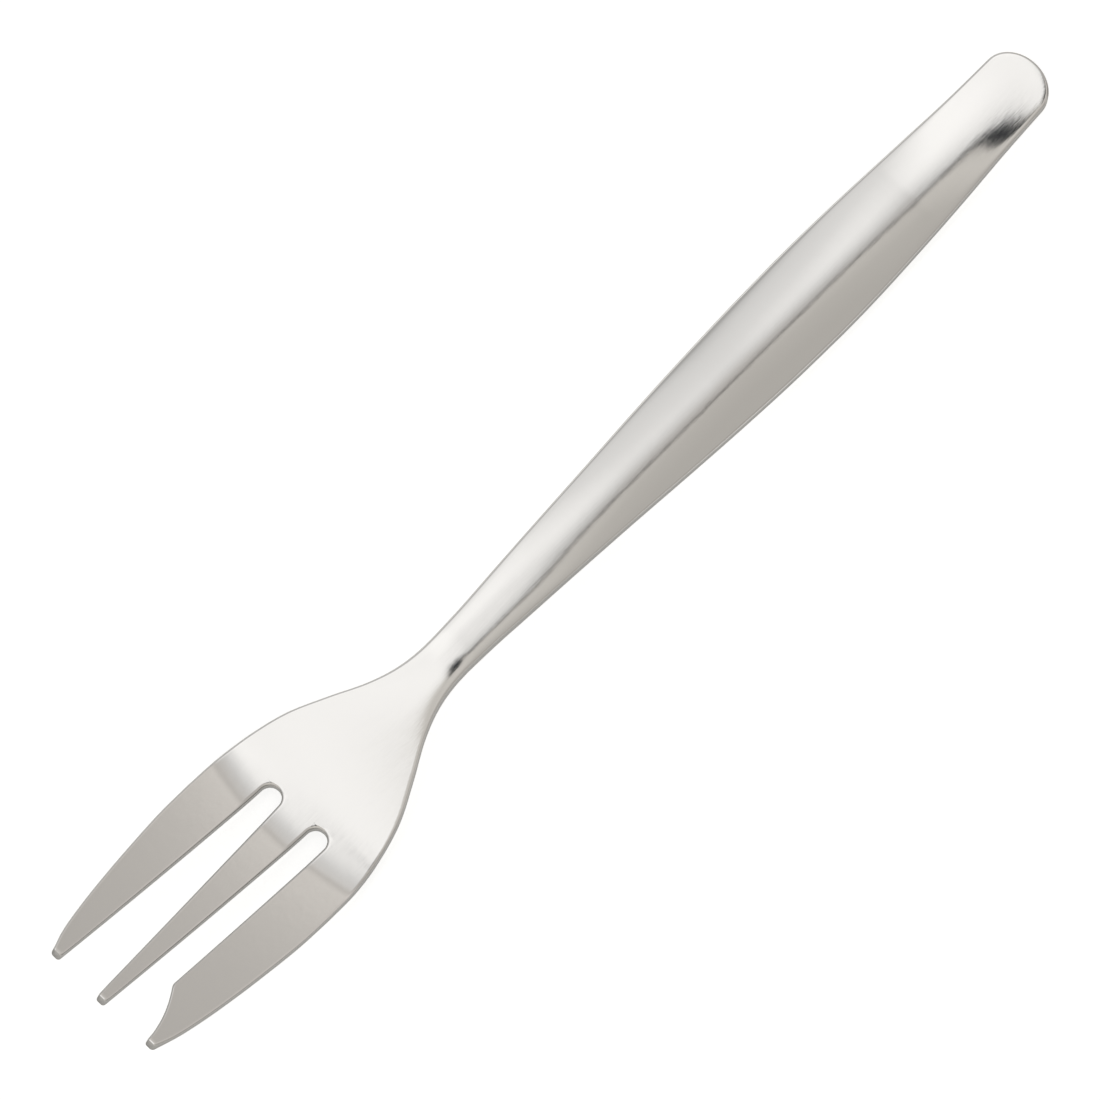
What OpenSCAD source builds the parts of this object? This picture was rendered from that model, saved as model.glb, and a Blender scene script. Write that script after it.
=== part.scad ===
// Pastry fork, pressed from one strip of stainless steel.
// +X runs from the handle end to the tine tips, +Y to the cutting tine, and +Z up.
// The origin is on the surface that the fork lies on, under the middle of its length and width.

/* [Lengths] */
// From the handle end to the narrowest place of the neck
handle_length = 91.8; // [80:0.1:110]
// From the neck to the bottom of the slots between the tines
palm_length = 23.2; // [20:0.1:30]
// From the bottom of the slots to the tip of the middle tine
tine_length = 30.4; // [26:0.1:38]
// How much shorter the outer tines are than the middle one
outer_tines_short = 0.2; // [0:0.1:1]

/* [Handle] */
// Width of the handle where its round end begins
end_w = 8.15; // [7:0.1:10]
// Depth of the round end, along the fork
end_round = 3.2; // [2.5:0.1:4]
// Width of the handle at its widest place
handle_w = 10.94; // [10.2:0.1:14]
// Distance of that place from the handle end
handle_widest_x = 36; // [30:0.5:45]
// Width of the neck
neck_w = 5.16; // [4.4:0.1:6.5]
// How far the handle's edges are pressed down below its crown
dome_depth = 1.03; // [0.6:0.01:1.4]

/* [Head] */
// Width of the head across its shoulders
head_w = 21.1; // [19:0.1:25]
// Distance of the shoulders from the neck
shoulder_x = 29.7; // [28:0.1:34]
// How far the head's edges are pressed down below its middle
head_crown = 0.04; // [0:0.01:0.4]

/* [Tines] */
// Width of each slot at its bottom
slot_w = 2.6; // [2.1:0.1:2.8]
// Distance of each slot's middle from the centre line, at its bottom
slot_y = 3.42; // [3:0.05:4]
// Width of a tine at its tip
tip_w = 1.15; // [1:0.05:1.4]
// Distance of the plain outer tine's tip from the centre line
plain_tip_y = 6.88; // [6:0.02:8]
// Distance of the cutting tine's tip from the centre line
cutting_tip_y = 7.1; // [6.4:0.02:8]
// Distance of the cutting tine's inner edge from the centre line, at its notch
cutting_edge_y = 4.08; // [3.8:0.02:4.4]
// Length of the hollow notch that thins the cutting tine to its tip
notch_length = 6.7; // [5:0.1:8]

/* [Side view] */
// Rise of the handle's end above its lowest stretch
end_lift = 1.5; // [0.4:0.05:2]
// Distance of that lowest stretch from the handle end
low_x = 20; // [12:0.5:24]
// Height of the handle's lowest stretch above the heel, both at the crown
low_h = 0.56; // [0.5:0.05:1.2]
// Height of the arch above the heel, both at the crown
arch_h = 3.1; // [2:0.05:4.5]
// Distance of the arch from the neck, towards the handle end
arch_back = 1.5; // [0.5:0.1:8]
// Distance of the heel, which is the lowest place of the head, past the slots' bottoms
heel_past_root = 1; // [0:0.1:1.2]
// Length of the bend that turns the heel up into the tines
bend_length = 3.8; // [3.5:0.1:6]
// Rise of the middle tine's tip above the heel
tip_rise = 6.5; // [4:0.1:8]
// How much nearer the handle the bend lies at the head's edges than at its middle
bend_bow = 1.3; // [0.8:0.1:2]
// How far before the heel that bow begins
bow_run = 8; // [5:0.5:12]

/* [Sheet] */
// Thickness of the handle at its crown
handle_t = 1.8; // [1.6:0.05:2.2]
// Thickness of the neck
neck_t = 2.2; // [2:0.05:2.6]
// Thickness of the palm at the heel
palm_t = 1.7; // [1.5:0.05:2]
// Thickness of the tine tips
tip_t = 1.4; // [1.1:0.05:1.6]
// Radius of the tumbled edges
edge_r = 0.3; // [0.2:0.02:0.36]
// Radius of the tips' corners, seen from above
tip_corner_r = 0.35; // [0.2:0.05:0.4]

/* [Hidden] */

// Places along the fork, from the handle end
root_x = handle_length + palm_length;
fork_length = root_x + tine_length;
shoulder_at = handle_length + shoulder_x;
arch_x = handle_length - arch_back;
heel_x = root_x + heel_past_root;
slot_r = slot_w / 2;
slot_arc_x = root_x + slot_r;
tip_xs = [fork_length - outer_tines_short, fork_length, fork_length - outer_tines_short];
notch_x = tip_xs[2] - notch_length;

// Curves from one named size to the next: share of the way along, share of the change
flare_shares = [[0, 0], [0.17, 0.15], [0.4, 0.48], [0.64, 0.78], [0.8, 0.93], [0.9, 0.985], [1, 1]];
taper_shares = [[0, 0], [0.13, 0.045], [0.28, 0.165], [0.42, 0.325], [0.56, 0.51], [0.7, 0.68],
    [0.83, 0.835], [0.93, 0.955], [1, 1]];
shoulder_shares = [[0, 0], [0.07, 0.008], [0.14, 0.042], [0.21, 0.11], [0.28, 0.213], [0.42, 0.49],
    [0.56, 0.745], [0.7, 0.895], [0.85, 0.982], [1, 1]];
side_shares = [[0, 0], [0.18, 0.03], [0.37, 0.15], [0.55, 0.3], [0.74, 0.51], [0.86, 0.69], [1, 1]];
rise_shares = [[0, 0], [0.23, 0.14], [0.345, 0.28], [0.44, 0.45], [0.555, 0.65], [0.67, 0.83],
    [0.81, 0.955], [1, 1]];
dome_shares = [[0, 0], [0.04, 0.035], [0.083, 0.125], [0.13, 0.275], [0.18, 0.455], [0.25, 0.65],
    [0.36, 0.94], [0.44, 1], [0.52, 0.965], [0.62, 0.75], [0.72, 0.525], [0.785, 0.36],
    [0.855, 0.195], [0.93, 0.12], [1, 0.09]];
// The underside's hollow, as a share of the dome above it
hollow_share = 0.85;
// How much of the tines' rise is a straight slope, the rest being their upward curl
tine_slope_share = 0.8;
// The slots open slowly at first: 1 would be straight edges
slot_opening_power = 1.08;
// Places of the columns that draw a tumbled edge, as shares of its radius
edge_column_shares = [0, 0.3, 1];
// The most of a band's width that those columns take, where a tine is slim
edge_reach_share = 0.28;
// Places of the stations just before the slots' bottoms, as shares of the edge radius
root_station_shares = [1, 0.5, 0.2, 0];
// How much closer the stations stand at the notch's corner than at the tip: 1 would be even
notch_spacing_power = 1.3;

// Number of strips across each of the three bands that become the tines
strips = 6;
// Numbers of stations along the round end, the handle, the palm, a slot's arc, a tine and the notch
end_stations = 9;
handle_stations = 27;
palm_stations = 13;
arc_stations = 5;
tine_stations = 11;
notch_stations = 9;
tip_stations = 5;

// Straight and eased ways between two values
function between(a, b, u) = a + (b - a) * u;
function ease(u) = u <= 0 ? 0 : u >= 1 ? 1 : u * u * (3 - 2 * u);

// Smooth curve through a table of points, with the slope at each point from its two neighbours
function steepness(t, i) = (t[i + 1][1] - t[i][1]) / (t[i + 1][0] - t[i][0]);
function slope(t, i) =
    i == 0 ? steepness(t, 0)
    : i == len(t) - 1 ? steepness(t, i - 1)
    : between(steepness(t, i - 1), steepness(t, i), (t[i][0] - t[i - 1][0]) / (t[i + 1][0] - t[i - 1][0]));
function stretch(t, x, i = 0) = i >= len(t) - 2 || x < t[i + 1][0] ? i : stretch(t, x, i + 1);
function curve(t, x) = curve_in(t, min(max(x, t[0][0]), t[len(t) - 1][0]), stretch(t, x));
function curve_in(t, x, i) =
    let (h = t[i + 1][0] - t[i][0], u = (x - t[i][0]) / h)
    between(t[i][1], t[i + 1][1], ease(u))
        + h * u * (1 - u) * ((1 - u) * slope(t, i) - u * slope(t, i + 1));

// Half the blank's width at a distance from the handle end, up to the slots
function half_w(x) =
    x < end_round ? end_w / 2 * sqrt(max(0, 1 - pow(1 - x / end_round, 2)))
    : x < handle_widest_x
        ? between(end_w / 2, handle_w / 2,
            curve(flare_shares, (x - end_round) / (handle_widest_x - end_round)))
    : x < handle_length
        ? between(handle_w / 2, neck_w / 2,
            curve(taper_shares, (x - handle_widest_x) / (handle_length - handle_widest_x)))
    : between(neck_w / 2, head_w / 2, curve(shoulder_shares, (x - handle_length) / shoulder_x));

// Distance of an outer tine's outer edge from the centre line
function outer_edge(x, tip_y) =
    x < shoulder_at ? half_w(x)
    : between(head_w / 2, tip_y + tip_w / 2,
        curve(side_shares, (x - shoulder_at) / (tip_xs[0] - shoulder_at)));

// Edge of a slot: a round bottom, then a nearly straight line to the tip
function slot_edge(x, middle, side, tip_y, tip_x) =
    x <= slot_arc_x ? middle + side * sqrt(max(0, pow(slot_r, 2) - pow(slot_arc_x - x, 2)))
    : between(middle + side * slot_r, tip_y,
        pow((x - slot_arc_x) / (tip_x - slot_arc_x), slot_opening_power));

// Inner edge of the cutting tine, with its hollow notch and the notch's eased corner
function notch_edge(x) =
    between(cutting_edge_y, cutting_tip_y - tip_w / 2, 1 - pow((tip_xs[2] - x) / notch_length, 2));
function blade_edge(x) = slot_edge(x, slot_y, 1, cutting_edge_y, notch_x);
function cutting_inner(x) =
    let (u = (x - notch_x + edge_r) / (2 * edge_r))
    u <= 0 ? blade_edge(x)
    : u >= 1 ? notch_edge(x)
    : pow(1 - u, 2) * blade_edge(notch_x - edge_r) + 2 * u * (1 - u) * cutting_edge_y
        + pow(u, 2) * notch_edge(notch_x + edge_r);

// How far a tip's corner is rounded in at a distance from the tip
function corner_in(from_tip, r) = from_tip >= r ? 0 : r - sqrt(pow(r, 2) - pow(r - from_tip, 2));

// The two edges of a tine: 0 is the plain one, 1 the middle one and 2 the cutting one
function tine_edges(k, x) =
    let (c = corner_in(tip_xs[k] - x, tip_corner_r))
    k == 0 ? [
        c - outer_edge(x, plain_tip_y),
        slot_edge(x, -slot_y, -1, tip_w / 2 - plain_tip_y, tip_xs[0]) - c
    ]
    : k == 1 ? [
        slot_edge(x, -slot_y, 1, -tip_w / 2, tip_xs[1]) + c,
        slot_edge(x, slot_y, -1, tip_w / 2, tip_xs[1]) - c
    ]
    : [cutting_inner(x) + c, outer_edge(x, cutting_tip_y) - c];

// Height of the crown's upper side above the heel's
function tine_rise(x) =
    let (u = (x - heel_x) / (fork_length - heel_x), bend = bend_length / (fork_length - heel_x))
    let (v = u < bend ? u * u / (2 * bend) : u - bend / 2)
    tip_rise * (tine_slope_share * v / (1 - bend / 2) + (1 - tine_slope_share) * pow(v / (1 - bend / 2), 2));
function crown_h(x) =
    x < low_x ? low_h + end_lift * pow(1 - x / low_x, 2)
    : x < arch_x ? between(low_h, arch_h, curve(rise_shares, (x - low_x) / (arch_x - low_x)))
    : x < heel_x ? arch_h * (1 - ease((x - arch_x) / (heel_x - arch_x)))
    : tine_rise(x);

// Depth of the cross dome at a place along the fork
function dome(x) =
    x < handle_length ? dome_depth * curve(dome_shares, x / handle_length)
    : between(dome_depth * dome_shares[len(dome_shares) - 1][1], head_crown,
        ease((x - handle_length) / palm_length));

// Thickness at a place along the fork
function thickness(x) =
    x < arch_x ? between(handle_t, neck_t, ease((x - handle_widest_x) / (arch_x - handle_widest_x)))
    : x < heel_x ? between(neck_t, palm_t, ease((x - arch_x) / (heel_x - arch_x)))
    : between(palm_t, tip_t, (x - heel_x) / (fork_length - heel_x));

// Distance of a place on the sheet from the round end's edge, where the last term only keeps the
// middle of that curve from dividing by zero, and from the nearer slot's round bottom
function from_end(x, y) =
    x >= end_round ? end_round
    : let (p = (end_round - x) / end_round, q = 2 * y / end_w)
        (1 - p * p - q * q) / (2 * sqrt(pow(p / end_round, 2) + pow(2 * q / end_w, 2)) + 1 / fork_length);
function from_slot(x, y) =
    x > slot_arc_x ? slot_r
    : min([for (middle = [-slot_y, slot_y]) norm([x - slot_arc_x, y - middle]) - slot_r]);

// How far a tumbled edge lowers the surface at a distance from the edge
function tumbled(d) = d >= edge_r ? 0 : edge_r - sqrt(max(0, pow(edge_r, 2) - pow(edge_r - max(0, d), 2)));

// Upper and lower side of the sheet at a place, before the fork is set down
function cross_share(x, y) = pow(y / max(half_w(min(x, shoulder_at)), neck_w / 2), 2);
function bow(x, y) = bend_bow * ease((x - heel_x + bow_run) / bow_run) * pow(2 * y / head_w, 2);
function upper(x, y) = crown_h(x + bow(x, y)) - dome(x) * cross_share(x, y);
function lower(x, y) =
    upper(x, y) - thickness(x) + (1 - hollow_share) * dome(x) * cross_share(x, y);

// Columns across one band between its two edges, close together where an edge is free
edge_columns = len(edge_column_shares) - 1;
function edge_step(i, width) = min(edge_r, width * edge_reach_share) * edge_column_shares[i];
function columns(a, b, free_a, free_b) = [
    for (j = [0:strips])
        let (w = b - a, even = a + w * j / strips)
        j <= edge_columns ? between(even, a + edge_step(j, w), free_a)
        : j >= strips - edge_columns ? between(even, b - edge_step(strips - j, w), free_b)
        : even
];

// Stations along the handle and palm
end_angle_step = 90 / end_stations;
body_xs = concat(
    [for (i = [1:end_stations]) i == 1 ? 0 : end_round * (1 - cos(i * end_angle_step))],
    [for (i = [1:handle_stations]) between(end_round, handle_length, i / handle_stations)],
    [for (i = [1:palm_stations]) between(handle_length, root_x - 2 * edge_r, i / palm_stations)],
    [for (share = root_station_shares) root_x - share * edge_r]
);

// Stations along a tine, from just past the slots' bottoms to its tip
function tine_xs(k) =
    let (tip = tip_xs[k] - edge_r)
    concat(
        [for (i = [1:arc_stations]) root_x + slot_r * (1 - cos(90 * i / arc_stations))],
        [for (i = [1:tine_stations]) between(slot_arc_x, notch_x - edge_r, i / tine_stations)],
        [for (i = [1:notch_stations])
            between(notch_x - edge_r, tip, pow(i / notch_stations, notch_spacing_power))],
        [for (i = [1:tip_stations]) tip + edge_r * sin(90 * i / tip_stations)]
    );

// One row of points across the handle or palm: the upper side, then the lower side
slot_share = slot_y / half_w(root_x);
function body_ys(i) =
    let (x = body_xs[i], w = i == 0 ? end_w / 2 * sin(end_angle_step) : half_w(x))
    let (near_slot = ease((x - root_x + 2 * slot_y) / (2 * slot_y)))
    let (low = columns(-w, -w * slot_share, 1, near_slot))
    let (middle = columns(-w * slot_share, w * slot_share, near_slot, near_slot))
    let (high = columns(w * slot_share, w, near_slot, 1))
    concat([for (j = [0:strips - 1]) low[j]], [for (j = [0:strips - 1]) middle[j]], high);
function body_row(i) =
    let (x = body_xs[i], ys = body_ys(i), last = len(ys) - 1)
    let (drops = [
        for (y = ys)
            tumbled(i == 0 ? 0 : min(y - ys[0], ys[last] - y, from_end(x, y), from_slot(x, y)))
    ])
    concat(
        [for (j = [0:last]) [x, ys[j], upper(x, ys[j]) - drops[j]]],
        [for (j = [0:last]) [x, ys[j], lower(x, ys[j]) + drops[j]]]
    );

// One row of points across a tine
function tine_row(k, x) =
    let (edges = tine_edges(k, x), ys = columns(edges[0], edges[1], 1, 1))
    let (drops = [
        for (y = ys)
            tumbled(min(y - ys[0], ys[strips] - y, tip_xs[k] - x, from_slot(x, y)))
    ])
    concat(
        [for (j = [0:strips]) [x, ys[j], upper(x, ys[j]) - drops[j]]],
        [for (j = [0:strips]) [x, ys[j], lower(x, ys[j]) + drops[j]]]
    );

// Numbers of the points: body rows first, then each tine's rows
body_columns = 3 * strips + 1;
body_last = len(body_xs) - 1;
tine_rows = len(tine_xs(0));
function body_at(i, c, under) = (2 * i + under) * body_columns + c;
function tine_at(k, i, j, under) =
    i == 0 ? body_at(body_last, k * strips + j, under)
    : 2 * (body_last + 1) * body_columns + (2 * (k * tine_rows + i - 1) + under) * (strips + 1) + j;

// Two triangles for each four-sided place
function two(a, b, c, d) = [[a, b, c], [a, c, d]];

// Faces of the handle and palm: upper side, lower side, the two long edges, and the end
function body_faces() = concat(
    [for (i = [0:body_last - 1], c = [0:body_columns - 2])
        each two(body_at(i, c, 0), body_at(i, c + 1, 0), body_at(i + 1, c + 1, 0), body_at(i + 1, c, 0))],
    [for (i = [0:body_last - 1], c = [0:body_columns - 2])
        each two(body_at(i, c, 1), body_at(i + 1, c, 1), body_at(i + 1, c + 1, 1), body_at(i, c + 1, 1))],
    [for (i = [0:body_last - 1])
        each two(body_at(i, 0, 1), body_at(i, 0, 0), body_at(i + 1, 0, 0), body_at(i + 1, 0, 1))],
    [for (i = [0:body_last - 1], c = body_columns - 1)
        each two(body_at(i, c, 1), body_at(i + 1, c, 1), body_at(i + 1, c, 0), body_at(i, c, 0))],
    [for (c = [0:body_columns - 2])
        each two(body_at(0, c, 1), body_at(0, c + 1, 1), body_at(0, c + 1, 0), body_at(0, c, 0))]
);

// Faces of a tine: upper side, lower side, its two edges, and its tip
function tine_quad(k, a, b, c, d) =
    two(tine_at(k, a[0], a[1], a[2]), tine_at(k, b[0], b[1], b[2]),
        tine_at(k, c[0], c[1], c[2]), tine_at(k, d[0], d[1], d[2]));
function tine_faces(k) = concat(
    [for (i = [0:tine_rows - 1], j = [0:strips - 1])
        each tine_quad(k, [i, j, 0], [i, j + 1, 0], [i + 1, j + 1, 0], [i + 1, j, 0])],
    [for (i = [0:tine_rows - 1], j = [0:strips - 1])
        each tine_quad(k, [i, j, 1], [i + 1, j, 1], [i + 1, j + 1, 1], [i, j + 1, 1])],
    [for (i = [0:tine_rows - 1])
        each tine_quad(k, [i, 0, 1], [i, 0, 0], [i + 1, 0, 0], [i + 1, 0, 1])],
    [for (i = [0:tine_rows - 1], j = strips)
        each tine_quad(k, [i, j, 1], [i + 1, j, 1], [i + 1, j, 0], [i, j, 0])],
    [for (i = tine_rows, j = [0:strips - 1])
        each tine_quad(k, [i, j, 1], [i, j, 0], [i, j + 1, 0], [i, j + 1, 1])]
);

// The whole sheet, pressed to shape and set down so that its lowest place touches Z = 0
module fork() {
    points = concat(
        [for (i = [0:body_last]) each body_row(i)],
        [for (k = [0:2], x = tine_xs(k)) each tine_row(k, x)]
    );
    lowest = min([for (p = points) p[2]]);
    color("gainsboro")
        translate([-fork_length / 2, 0, -lowest])
        polyhedron(points, concat(body_faces(), tine_faces(0), tine_faces(1), tine_faces(2)));
}

fork();
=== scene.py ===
# %% [markdown]
# # A pastry fork in satin-polished stainless steel
# The real fork is one strip of steel. A press blanks its outline, punches the two slots and the notch,
# and bends it: a domed handle, a flat palm and three tines that rise to their tips. It is then tumbled
# in a drum of grit, which rounds every edge, and polished along its length.
#
# There is only one piece to make, so its form and its metal carry the whole picture. The measured part
# comes first, as a fixed frame, and everything below is fitted to it.

# %% Load the measured part
import math
import bpy
import numpy as np
from mathutils import Matrix, Vector


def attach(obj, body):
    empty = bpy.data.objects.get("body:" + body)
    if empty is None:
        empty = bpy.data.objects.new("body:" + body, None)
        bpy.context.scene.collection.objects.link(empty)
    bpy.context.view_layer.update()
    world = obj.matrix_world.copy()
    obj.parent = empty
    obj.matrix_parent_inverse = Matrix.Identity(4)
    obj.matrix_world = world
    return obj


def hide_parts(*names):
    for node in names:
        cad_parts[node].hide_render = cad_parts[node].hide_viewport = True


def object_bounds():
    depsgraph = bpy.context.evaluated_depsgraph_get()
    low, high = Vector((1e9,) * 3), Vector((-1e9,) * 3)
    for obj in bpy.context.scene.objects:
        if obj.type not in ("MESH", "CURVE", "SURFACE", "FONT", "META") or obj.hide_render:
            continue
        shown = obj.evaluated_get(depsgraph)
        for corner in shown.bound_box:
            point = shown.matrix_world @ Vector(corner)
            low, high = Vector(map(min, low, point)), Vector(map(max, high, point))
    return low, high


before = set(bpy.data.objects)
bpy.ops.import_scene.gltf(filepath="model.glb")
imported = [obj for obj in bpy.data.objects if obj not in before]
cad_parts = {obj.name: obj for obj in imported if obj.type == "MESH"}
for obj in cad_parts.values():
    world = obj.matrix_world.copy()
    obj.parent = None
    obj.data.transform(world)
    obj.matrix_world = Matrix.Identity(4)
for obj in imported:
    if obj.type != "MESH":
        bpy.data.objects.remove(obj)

measured_box = [list(map(float, corner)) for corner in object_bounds()]
print("Measured part, in metres:", measured_box)

# %% [markdown]
# ## Sizes in millimetres
# Cutlery is drawn in millimetres, so the sizes stay in millimetres here and one value turns them into
# Blender's metres at the end. Lengths along the fork count from the handle end.

# %% Sizes of the fork
MM = 0.001
FORK_LENGTH = 145.4
NECK_X = 91.8
ROOT_X = 115.0
OUTER_TINES_SHORT = 0.2
END_W, END_ROUND = 8.15, 3.2
HANDLE_W, WIDEST_X = 10.94, 36.0
NECK_W = 5.16
HEAD_W, SHOULDER_X = 21.1, 121.5
SLOT_W, SLOT_Y = 2.6, 3.42
TIP_W, PLAIN_TIP_Y, CUTTING_TIP_Y = 1.15, 6.88, 7.1
CUTTING_EDGE_Y, NOTCH_LENGTH = 4.08, 6.7
EDGE_R, TIP_CORNER_R = 0.3, 0.35
SLOT_ARC_X = ROOT_X + SLOT_W / 2
TIP_XS = (FORK_LENGTH - OUTER_TINES_SHORT, FORK_LENGTH, FORK_LENGTH - OUTER_TINES_SHORT)
NOTCH_X = TIP_XS[2] - NOTCH_LENGTH
box_length = (measured_box[1][0] - measured_box[0][0]) / MM
print(f"Fork {FORK_LENGTH} mm long, measured box {box_length:.2f} mm")

# %% [markdown]
# ## Smooth curves from a few points
# A toolmaker draws such an outline as a fair curve through a few measured places. The same is done
# here: a table holds the share of the way along and the share of the change in width, and a cubic
# curve whose slope never jumps runs through it. A bent strip of spring steel would take about the same
# line.

# %% A fair curve through a table
def between(a, b, share):
    return a + (b - a) * share


def eased(share):
    share = np.clip(share, 0.0, 1.0)
    return share * share * (3.0 - 2.0 * share)


def fair_curve(table, share):
    """The height at a share of the way along, on a smooth curve through the table's points."""
    places, heights = np.array(table, dtype=float).T
    steepness = np.diff(heights) / np.diff(places)
    spans = np.diff(places)
    inner = between(steepness[:-1], steepness[1:], spans[:-1] / (spans[:-1] + spans[1:]))
    slopes = np.concatenate([steepness[:1], inner, steepness[-1:]])
    share = np.clip(share, places[0], places[-1])
    i = np.clip(np.searchsorted(places, share, side="right") - 1, 0, len(spans) - 1)
    u = (share - places[i]) / spans[i]
    bulge = u * (1 - u) * ((1 - u) * slopes[i] - u * slopes[i + 1])
    return between(heights[i], heights[i + 1], eased(u)) + spans[i] * bulge


print("Half way along a straight table:", float(fair_curve([[0, 0], [1, 1]], 0.5)))

# %% [markdown]
# ## The outline of the blank
# From the round end the handle widens for a quarter of the fork's length, tapers to a narrow neck, and
# opens into the head. The tables are shares, so the widths above can be changed by themselves.

# %% Half width of the blank at each place
FLARE = [[0, 0], [0.17, 0.15], [0.4, 0.48], [0.64, 0.78], [0.8, 0.93], [0.9, 0.985], [1, 1]]
TAPER = [[0, 0], [0.13, 0.045], [0.28, 0.165], [0.42, 0.325], [0.56, 0.51], [0.7, 0.68],
         [0.83, 0.835], [0.93, 0.955], [1, 1]]
SHOULDER = [[0, 0], [0.07, 0.008], [0.14, 0.042], [0.21, 0.11], [0.28, 0.213], [0.42, 0.49],
            [0.56, 0.745], [0.7, 0.895], [0.85, 0.982], [1, 1]]
SIDE = [[0, 0], [0.18, 0.03], [0.37, 0.15], [0.55, 0.3], [0.74, 0.51], [0.86, 0.69], [1, 1]]


def half_width(x):
    """Half the width of handle, neck and head, as far as the shoulders."""
    round_end = END_W / 2 * np.sqrt(np.clip(1 - (1 - x / END_ROUND) ** 2, 0, None))
    flare_share = fair_curve(FLARE, (x - END_ROUND) / (WIDEST_X - END_ROUND))
    taper_share = fair_curve(TAPER, (x - WIDEST_X) / (NECK_X - WIDEST_X))
    head_share = fair_curve(SHOULDER, (x - NECK_X) / (SHOULDER_X - NECK_X))
    flare = between(END_W / 2, HANDLE_W / 2, flare_share)
    taper = between(HANDLE_W / 2, NECK_W / 2, taper_share)
    head = between(NECK_W / 2, HEAD_W / 2, head_share)
    return np.where(x < END_ROUND, round_end,
                    np.where(x < WIDEST_X, flare, np.where(x < NECK_X, taper, head)))


def outer_edge(x, tip_y):
    side = fair_curve(SIDE, (x - SHOULDER_X) / (TIP_XS[0] - SHOULDER_X))
    return np.where(x < SHOULDER_X, half_width(x), between(HEAD_W / 2, tip_y + TIP_W / 2, side))


for name, place in (("widest handle", WIDEST_X), ("neck", NECK_X), ("shoulders", SHOULDER_X)):
    print(f"{name}: {2 * float(half_width(np.array(place))):.2f} mm wide")

# %% [markdown]
# ## Slots, notch and tine tips
# A punch cuts each slot with a round bottom and almost straight sides. The left tine is wide, for
# cutting cake, and a hollow notch thins it near its tip. The notch's corner is slightly blunt.

# %% Edges of the slots and of the notch
SLOT_OPENING = 1.08


def slot_edge(x, middle, side, tip_y, tip_x):
    radius = SLOT_W / 2
    bottom = middle + side * np.sqrt(np.clip(radius ** 2 - (SLOT_ARC_X - x) ** 2, 0, None))
    along = np.clip((x - SLOT_ARC_X) / (tip_x - SLOT_ARC_X), 0, None) ** SLOT_OPENING
    return np.where(x <= SLOT_ARC_X, bottom, between(middle + side * radius, tip_y, along))


def notch_edge(x):
    hollow = 1 - ((TIP_XS[2] - x) / NOTCH_LENGTH) ** 2
    return between(CUTTING_EDGE_Y, CUTTING_TIP_Y - TIP_W / 2, hollow)


def cutting_inner(x):
    blade = slot_edge(x, SLOT_Y, 1, CUTTING_EDGE_Y, NOTCH_X)
    before = slot_edge(np.array(NOTCH_X - EDGE_R), SLOT_Y, 1, CUTTING_EDGE_Y, NOTCH_X)
    after = notch_edge(NOTCH_X + EDGE_R)
    u = (x - NOTCH_X + EDGE_R) / (2 * EDGE_R)
    corner = (1 - u) ** 2 * before + 2 * u * (1 - u) * CUTTING_EDGE_Y + u ** 2 * after
    return np.where(u <= 0, blade, np.where(u >= 1, notch_edge(x), corner))


print(f"The notch ends {float(notch_edge(TIP_XS[2])):.2f} mm from the middle line")

# %% [markdown]
# Each tine lies between two of these edges, or between one of them and the outline of the head. At the
# very tip a small quarter circle blunts both of its corners.

# %% Edges of the three tines
def tine_edges(tine, x):
    back = np.clip(TIP_CORNER_R - (TIP_XS[tine] - x), 0, TIP_CORNER_R)
    corner = TIP_CORNER_R - np.sqrt(TIP_CORNER_R ** 2 - back ** 2)
    if tine == 0:
        low = -outer_edge(x, PLAIN_TIP_Y)
        high = slot_edge(x, -SLOT_Y, -1, TIP_W / 2 - PLAIN_TIP_Y, TIP_XS[0])
    elif tine == 1:
        low = slot_edge(x, -SLOT_Y, 1, -TIP_W / 2, TIP_XS[1])
        high = slot_edge(x, SLOT_Y, -1, TIP_W / 2, TIP_XS[1])
    else:
        low, high = cutting_inner(x), outer_edge(x, CUTTING_TIP_Y)
    return low + corner, high - corner


MID_TINE_X = 130.0
for tine, name in enumerate(("plain", "middle", "cutting")):
    low, high = tine_edges(tine, np.array([MID_TINE_X]))
    print(f"{name} tine at {MID_TINE_X} mm: {float(low[0]):.2f} to {float(high[0]):.2f} mm")

# %% [markdown]
# ## The side view
# Lying on a table, the fork rests on the heel under its palm and on the low edges of its handle. The
# neck arches up between them, and past the heel the tines bend up. The crown is the line along the
# middle of the upper side.

# %% Height of the crown
END_LIFT, LOW_X, LOW_H = 1.5, 20.0, 0.56
ARCH_X, ARCH_H = 90.3, 3.1
HEEL_X, BEND_LENGTH, TIP_RISE = 116.0, 3.8, 6.5
TINE_SLOPE = 0.8
RISE = [[0, 0], [0.23, 0.14], [0.345, 0.28], [0.44, 0.45], [0.555, 0.65], [0.67, 0.83],
        [0.81, 0.955], [1, 1]]


def crown_height(x):
    end = LOW_H + END_LIFT * (1 - x / LOW_X) ** 2
    rise = between(LOW_H, ARCH_H, fair_curve(RISE, (x - LOW_X) / (ARCH_X - LOW_X)))
    fall = ARCH_H * (1 - eased((x - ARCH_X) / (HEEL_X - ARCH_X)))
    reach = FORK_LENGTH - HEEL_X
    u, bend = (x - HEEL_X) / reach, BEND_LENGTH / reach
    along = np.where(u < bend, u * u / (2 * bend), u - bend / 2) / (1 - bend / 2)
    tines = TIP_RISE * (TINE_SLOPE * along + (1 - TINE_SLOPE) * along ** 2)
    return np.where(x < LOW_X, end, np.where(x < ARCH_X, rise, np.where(x < HEEL_X, fall, tines)))


for place in (0.0, LOW_X, ARCH_X, HEEL_X, FORK_LENGTH):
    print(f"{place:6.1f} mm from the end: crown {float(crown_height(np.array(place))):.2f} mm")

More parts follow.
